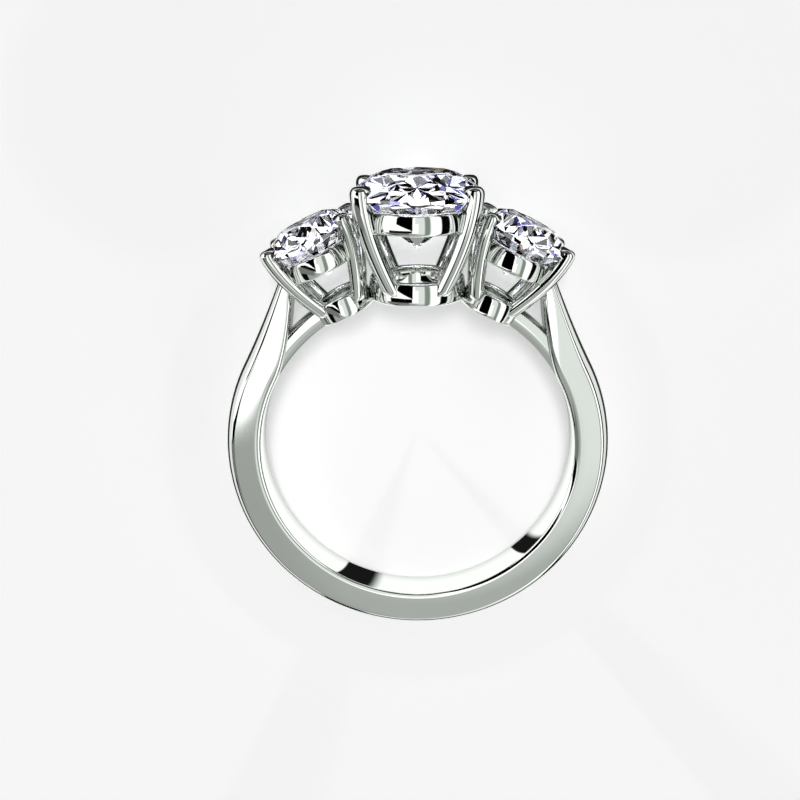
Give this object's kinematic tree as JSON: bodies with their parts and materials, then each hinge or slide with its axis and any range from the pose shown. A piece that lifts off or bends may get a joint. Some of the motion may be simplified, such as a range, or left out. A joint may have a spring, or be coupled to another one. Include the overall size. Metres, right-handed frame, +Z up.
{
  "type": "three stone ring",
  "caption": "Ring with an oval stone between two smaller ovals in pronged baskets, on a half-round shank with open cathedral shoulders.",
  "frame": {"origin": "centre of the finger hole, on its axis", "axes": "+Y from the finger hole towards the centre stone, +X across the finger, +Z up from the table on which the ring lies on its side"},
  "size_m": [0.0202, 0.0248, 0.0092],
  "materials": {
    "mount": "polished",
    "stone": "polished"
  },
  "bodies": {
    "root": {"ring_mount": "mount", "centre_stone": "stone", "left_stone": "stone", "right_stone": "stone"}
  },
  "joints": []
}
